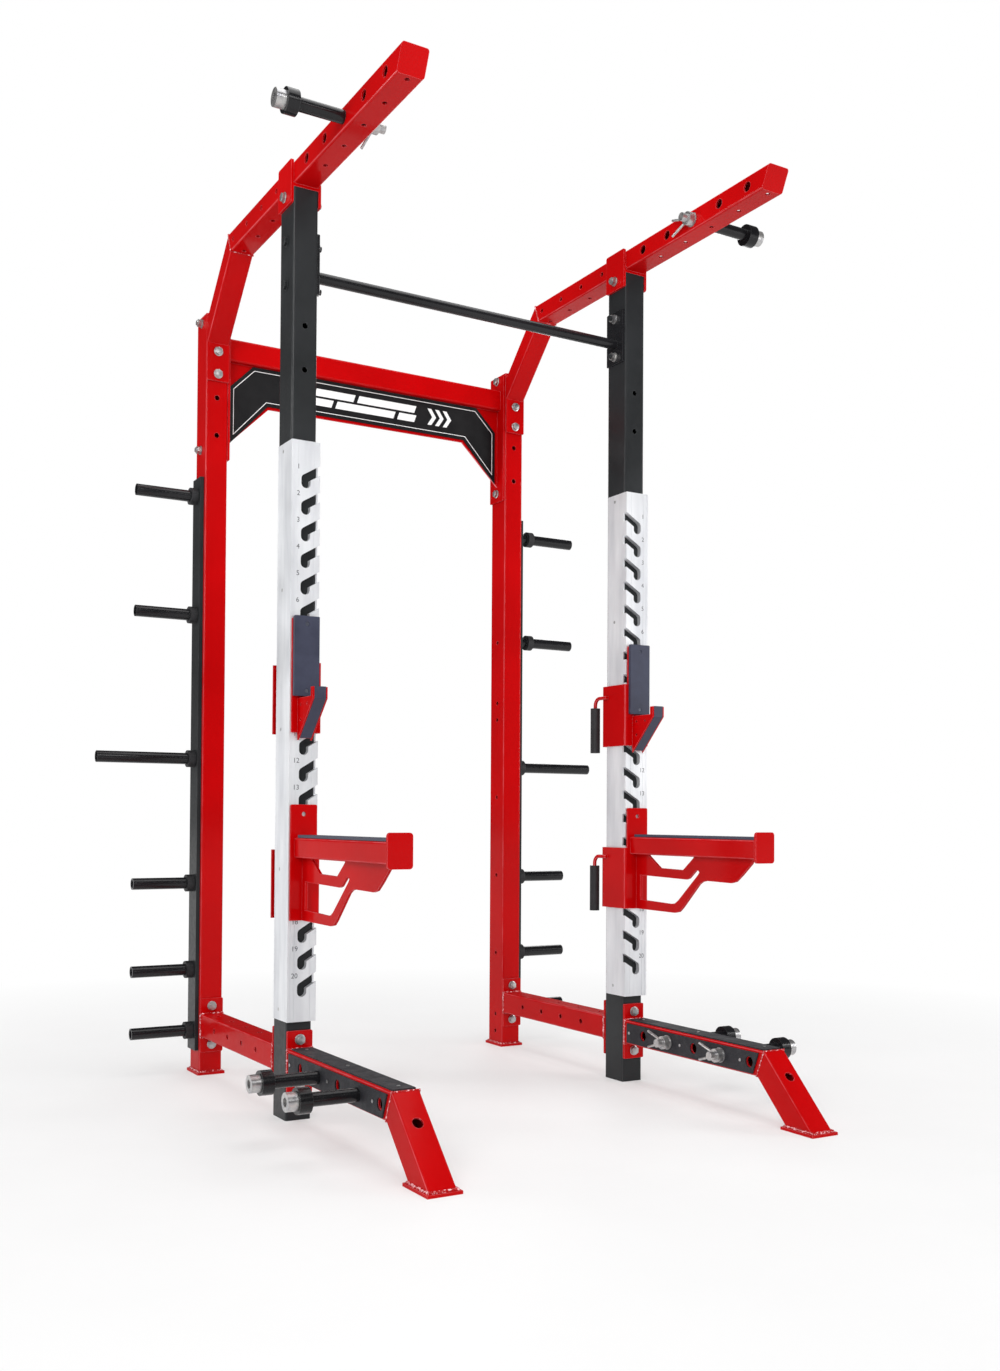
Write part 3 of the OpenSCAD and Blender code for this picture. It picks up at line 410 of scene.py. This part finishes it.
def weld_plates(side):
    """Beads where the foot's tube and the base tube meet their bolt-on plates."""
    foot_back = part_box("foot_" + side)[1].y
    base_low, base_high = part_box("base_tube_" + side)
    bm = bmesh.new()
    for y in (foot_back - PLATE_T, base_low.y + PLATE_T, base_high.y - PLATE_T):
        weld_loop(bm, side, (y, TUBE_LOW), (y, TUBE_HIGH), END_WELD)
    make("weld_end_plates_" + side, bm, BEAD)


def weld_mitres(side):
    """Fine ground beads at the foot's and the arm's mitred bends."""
    foot_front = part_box("foot_" + side)[0].y
    arm_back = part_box("top_arm_" + side)[1].y
    arm_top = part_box("arm_brace_" + side)[1].z
    for part, y, turn, top, tube in (("foot", foot_front, FOOT_MITRE, TUBE_HIGH, FOOT_TUBE),
                                     ("top_arm", arm_back, -ARM_MITRE, arm_top, ARM_TUBE)):
        run = tube * math.tan(math.radians(turn))
        bm = bmesh.new()
        weld_loop(bm, side, (y, top), (y + run, top - tube), MITRE_WELD)
        make(f"weld_mitre_{part}_{side}", bm, BEAD)


for side in SIDES:
    weld_feet(side)
    weld_plates(side)
    weld_mitres(side)

# ---------------------------------------------------------------- bolts

HEAD_T = 0.010
FACE_SINK = 0.0005
# turned profiles: (distance along the axis, radius) from end to end
WASHER = [(0, 0.0150), (0.0004, 0.0156), (0.0017, 0.0156), (0.0021, 0.0150)]
HEAD_FACE = [(0, 0.0108), (0.0009, 0.0104), (0.0012, 0.0094)]
TURNED_SIDES = 40
# bolts across the cage that lie further back than this belong to the rear uprights
MIDDLE_Y = 0.4


def islands(name):
    """The loose solids of a grouped node, as (low, high) corners."""
    bm = bmesh.new()
    bm.from_mesh(nodes[name].data)
    bmesh.ops.remove_doubles(bm, verts=bm.verts[:], dist=1e-5)
    seen, out = set(), []
    for start in bm.verts:
        if start in seen:
            continue
        stack, group = [start], []
        seen.add(start)
        while stack:
            vert = stack.pop()
            group.append(vert.co.copy())
            for link in vert.link_edges:
                other = link.other_vert(vert)
                if other not in seen:
                    seen.add(other)
                    stack.append(other)
        out.append((Vector([min(p[i] for p in group) for i in range(3)]),
                    Vector([max(p[i] for p in group) for i in range(3)])))
    bm.free()
    return out


def turned(bm, base, axis, profile):
    """A closed turned shape from a profile."""
    across = axis.orthogonal().normalized()
    up = axis.cross(across)
    rings = [ring(bm, base + axis * along, across, up, radius, TURNED_SIDES) for along, radius in profile]
    for first, second in zip(rings, rings[1:]):
        join_rings(bm, first, second)
    bm.faces.new(rings[0])
    bm.faces.new(list(reversed(rings[-1])))


def bolt_details(name, material):
    """A washer under each bolt's head and a raised round face on top of it."""
    bm = bmesh.new()
    for low, high in islands(name):
        centre = (low + high) / 2
        if high.y - low.y > high.x - low.x:
            direction = Vector((0, -1, 0))
        else:
            # across the cage: the front bolts' heads face outwards, the rear ones' face the middle
            outwards = math.copysign(1, centre.x)
            direction = Vector((outwards if centre.y < MIDDLE_Y else -outwards, 0, 0))
        tip = centre + direction * (abs((high - low).dot(direction)) / 2)
        turned(bm, tip - direction * HEAD_T, direction, WASHER)
        turned(bm, tip - direction * FACE_SINK, direction, HEAD_FACE)
    make(name + "_washers", bm, material)


bolt_details("frame_bolts", ZINC)
bolt_details("bar_bolts", BLACK)

# ---------------------------------------------------------------- slot numbers

SLOTS = 20
SLOT_PITCH = 0.0762
LOWEST_SLOT = 0.3502
# a figure's height, its place beside its slot, and half its print's thickness
NUMBER_H = 0.0145
NUMBER_RISE = 0.0595
NUMBER_X = 0.0225
NUMBER_HALF_T = 0.00008
NUMBER_PROUD = 0.0001
# a figure's height as a share of the font's size
FIGURE_SHARE = 0.72


def number_piece(text, name, centre):
    """Printed figures: a thin flat mesh just proud of the cover's front."""
    curve = bpy.data.curves.new(name, "FONT")
    curve.body = text
    curve.align_x = "CENTER"
    curve.align_y = "CENTER"
    curve.size = NUMBER_H / FIGURE_SHARE
    curve.extrude = NUMBER_HALF_T
    curve.resolution_u = 4
    temp = bpy.data.objects.new(name + "_curve", curve)
    bpy.context.scene.collection.objects.link(temp)
    bpy.context.view_layer.update()
    mesh = bpy.data.meshes.new_from_object(temp.evaluated_get(bpy.context.evaluated_depsgraph_get()))
    bpy.data.objects.remove(temp)
    mesh.name = name
    mesh.transform(Matrix.Translation(centre) @ Matrix.Rotation(math.radians(90), 4, "X"))
    add_piece(name, mesh, INK)


for side, sign in SIDES.items():
    cover_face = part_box("slot_cover_" + side)[0].y
    for number in range(1, SLOTS + 1):
        seat = LOWEST_SLOT + (SLOTS - number) * SLOT_PITCH
        where = Vector((sign * (POST_X + NUMBER_X), cover_face - NUMBER_PROUD, seat + NUMBER_RISE))
        number_piece(str(number), f"number_{side}_{number:02d}", where)

# ---------------------------------------------------------------- sign

SIGN_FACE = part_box("sign_panel")[0].y
PRINT_T = 0.00015
# the border: how far in from the edge, and how wide
LINE_IN = 0.012
LINE_W = 0.0022
# two rows of leaning stripes: each row's height above the floor and its stripes' lengths
STRIPE_START = -0.300
STRIPE_GAP = 0.015
STRIPE_H = 0.026
STRIPE_LEAN = 0.35
STRIPE_ROWS = ((2.352, (0.070, 0.150, 0.230)), (2.318, (0.150, 0.230, 0.070)))
# the chevrons beside them
CHEVRONS = 3
CHEVRON_START = 0.235
CHEVRON_PITCH = 0.032
CHEVRON_W = 0.016
CHEVRON_POINT = 0.020
CHEVRON_LOW = 2.318
CHEVRON_HALF = 0.030


def sign_outline():
    """The board's outline, seen from the front, anticlockwise."""
    top, corner, arch_z, foot = 2411.8 * MM, 2330 * MM, 2283 * MM, 2135 * MM
    half_top, half, arch = 443 * MM, 525 * MM, 388 * MM
    return [(-half_top, top), (-half, corner), (-half, foot), (-arch, arch_z), (arch, arch_z), (half, foot),
            (half, corner), (half_top, top)]


def inset(points, distance):
    """A closed outline moved inwards by a distance, corner by corner."""
    out = []
    count = len(points)
    for i in range(count):
        a, b, c = (Vector(points[(i + k) % count]) for k in (-1, 0, 1))
        first, second = (b - a).normalized(), (c - b).normalized()
        n1, n2 = Vector((-first.y, first.x)), Vector((-second.y, second.x))
        half = (n1 + n2).normalized()
        out.append(b + half * (distance / half.dot(n1)))
    return out


def flat_loop(bm, outer, inner):
    """The band between two outlines, printed on the sign's face."""
    (back_out, back_in), (front_out, front_in) = (
        [[bm.verts.new((p[0], depth, p[1])) for p in line] for line in (outer, inner)]
        for depth in (SIGN_FACE, SIGN_FACE - PRINT_T))
    count = len(outer)
    for i in range(count):
        j = (i + 1) % count
        bm.faces.new((front_out[i], front_out[j], front_in[j], front_in[i]))
        bm.faces.new((back_out[i], back_in[i], back_in[j], back_out[j]))
        bm.faces.new((back_out[i], back_out[j], front_out[j], front_out[i]))
        bm.faces.new((back_in[i], front_in[i], front_in[j], back_in[j]))


def flat_shape(bm, outline):
    """A filled outline, printed on the sign's face."""
    back = [bm.verts.new((p[0], SIGN_FACE, p[1])) for p in outline]
    front = [bm.verts.new((p[0], SIGN_FACE - PRINT_T, p[1])) for p in outline]
    bm.faces.new(back)
    bm.faces.new(list(reversed(front)))
    for i in range(len(outline)):
        j = (i + 1) % len(outline)
        bm.faces.new((back[i], front[i], front[j], back[j]))


def stripe(x, z, length):
    """A stripe's outline, which leans to the right as it rises."""
    lean = STRIPE_LEAN * STRIPE_H
    return [(x, z), (x + length, z), (x + length + lean, z + STRIPE_H), (x + lean, z + STRIPE_H)]


def chevron(x):
    """A chevron's outline, pointing right."""
    middle = CHEVRON_LOW + CHEVRON_HALF
    high = middle + CHEVRON_HALF
    return [(x, CHEVRON_LOW), (x + CHEVRON_W, CHEVRON_LOW), (x + CHEVRON_W + CHEVRON_POINT, middle),
            (x + CHEVRON_W, high), (x, high), (x + CHEVRON_POINT, middle)]


border = bmesh.new()
edge = sign_outline()
flat_loop(border, inset(edge, LINE_IN), inset(edge, LINE_IN + LINE_W))
make("sign_border", border, PRINT, smooth=False)

stripes = bmesh.new()
for z, lengths in STRIPE_ROWS:
    x = STRIPE_START
    for length in lengths:
        flat_shape(stripes, stripe(x, z, length))
        x += length + STRIPE_GAP
for i in range(CHEVRONS):
    flat_shape(stripes, chevron(CHEVRON_START + i * CHEVRON_PITCH))
make("sign_stripes", stripes, PRINT, smooth=False)

# ---------------------------------------------------------------- stage, light and camera

FLOOR_HALF = 60
# the fade to white runs between these distances from the middle, so that it has begun under the cage
FADE_START = -1.0
FADE_END = 3.6
# the world's brightness as light all round, as seen in gloss, and as the backdrop
ROOM_LIGHT = 0.34
ROOM_IN_GLOSS = 0.06
BACKDROP = 1.0
# name, place, target, size and watts
LIGHTS = (
    ("key", (-4.5, -4.0, 3.6), (0, 0, 1.3), (2.4, 3.0), 190),
    ("fill", (5.4, -3.2, 2.2), (0, 0, 1.1), (2.0, 3.0), 130),
    ("front", (0.4, -6.5, 4.2), (0, 0, 1.2), (2.0, 1.6), 70),
    ("top", (0, -0.5, 5.4), (0, 0, 0), (4.0, 4.0), 120),
    ("left_back", (-4.2, 3.4, 2.0), (-0.4, 0, 1.2), (1.2, 3.4), 75),
    ("right_back", (3.0, 4.2, 3.2), (0, 0.5, 1.4), (2.0, 2.4), 50),
)
# the camera that the picture's own lines give: place, yaw, pitch and roll in degrees, lens in mm, and shift
CAMERA_PLACE = (-2.0340, -3.5824, 0.8608)
CAMERA_TURN = (30.522, 1.146, 0.331)
CAMERA_LENS = 35.15
CAMERA_SHIFT = 0.0769


def make_floor():
    """A pale floor with faint clouds, which fades into the white backdrop away from the cage."""
    mesh = bpy.data.meshes.new("floor")
    bm = bmesh.new()
    bmesh.ops.create_grid(bm, x_segments=1, y_segments=1, size=FLOOR_HALF)
    bm.to_mesh(mesh)
    bm.free()
    obj = bpy.data.objects.new("floor", mesh)
    bpy.context.scene.collection.objects.link(obj)
    mat, tree, shader = new_material("floor")
    place = coords(tree)
    cloud = noise(tree, place, 0.9, 5, 0.6)
    fine = noise(tree, place, 40, 4)
    tree.links.new(blend_colour(tree, remap(tree, cloud, 0, 1), (0.80, 0.80, 0.80), (0.86, 0.86, 0.86)),
                   shader.inputs["Base Color"])
    tree.links.new(remap(tree, fine, 0.5, 0.65), shader.inputs["Roughness"])
    shader.inputs["Specular IOR Level"].default_value = 0.2
    middle = node(tree, "ShaderNodeTexCoord")
    away = node(tree, "ShaderNodeVectorMath", operation="LENGTH")
    tree.links.new(middle.outputs["Object"], away.inputs[0])
    fade = remap(tree, away.outputs["Value"], 0, 1, FADE_START, FADE_END)
    glow = node(tree, "ShaderNodeEmission")
    glow.inputs["Color"].default_value = (1, 1, 1, 1)
    mix = node(tree, "ShaderNodeMixShader")
    tree.links.new(fade, mix.inputs["Fac"])
    tree.links.new(shader.outputs["BSDF"], mix.inputs[1])
    tree.links.new(glow.outputs["Emission"], mix.inputs[2])
    tree.links.new(mix.outputs["Shader"], tree.nodes["Material Output"].inputs["Surface"])
    mesh.materials.append(mat)


def area_light(name, place, target, size, power):
    """A rectangular light aimed at a target, which the camera doesn't see."""
    data = bpy.data.lights.new(name, "AREA")
    data.shape = "RECTANGLE"
    data.size, data.size_y = size
    data.energy = power
    obj = bpy.data.objects.new(name, data)
    bpy.context.scene.collection.objects.link(obj)
    obj.location = place
    obj.rotation_mode = "QUATERNION"
    obj.rotation_quaternion = (Vector(target) - Vector(place)).to_track_quat("-Z", "Y")
    obj.visible_camera = False


def make_world():
    """White behind the cage, soft light all round, and a darker room for the gloss to reflect."""
    world = bpy.data.worlds.new("studio")
    bpy.context.scene.world = world
    world.use_nodes = True
    tree = world.node_tree
    light = tree.nodes["Background"]
    light.inputs["Color"].default_value = (1, 1, 1, 1)
    light.inputs["Strength"].default_value = ROOM_LIGHT
    path = node(tree, "ShaderNodeLightPath")
    shader = light
    for ray, strength in (("Is Glossy Ray", ROOM_IN_GLOSS), ("Is Camera Ray", BACKDROP)):
        other = node(tree, "ShaderNodeBackground")
        other.inputs["Color"].default_value = (1, 1, 1, 1)
        other.inputs["Strength"].default_value = strength
        mix = node(tree, "ShaderNodeMixShader")
        tree.links.new(path.outputs[ray], mix.inputs["Fac"])
        tree.links.new(shader.outputs[0], mix.inputs[1])
        tree.links.new(other.outputs[0], mix.inputs[2])
        shader = mix
    tree.links.new(shader.outputs[0], tree.nodes["World Output"].inputs["Surface"])


def make_camera():
    """The photo's view of the cage."""
    yaw, pitch, roll = (math.radians(angle) for angle in CAMERA_TURN)
    forward = Vector((math.sin(yaw) * math.cos(pitch), math.cos(yaw) * math.cos(pitch), math.sin(pitch)))
    level = Vector((math.cos(yaw), -math.sin(yaw), 0))
    rise = level.cross(forward)
    right = level * math.cos(roll) + rise * math.sin(roll)
    up = rise * math.cos(roll) - level * math.sin(roll)
    data = bpy.data.cameras.new("camera")
    data.sensor_width = 36
    data.lens = CAMERA_LENS
    data.shift_y = CAMERA_SHIFT
    data.clip_end = 200
    camera = bpy.data.objects.new("camera", data)
    bpy.context.scene.collection.objects.link(camera)
    turn = Matrix((right, up, -forward)).transposed().to_4x4()
    camera.matrix_world = Matrix.Translation(CAMERA_PLACE) @ turn
    bpy.context.scene.camera = camera


make_floor()
make_world()
for light in LIGHTS:
    area_light(*light)
make_camera()
bpy.context.scene.view_settings.view_transform = "Standard"
bpy.context.scene.view_settings.look = "None"
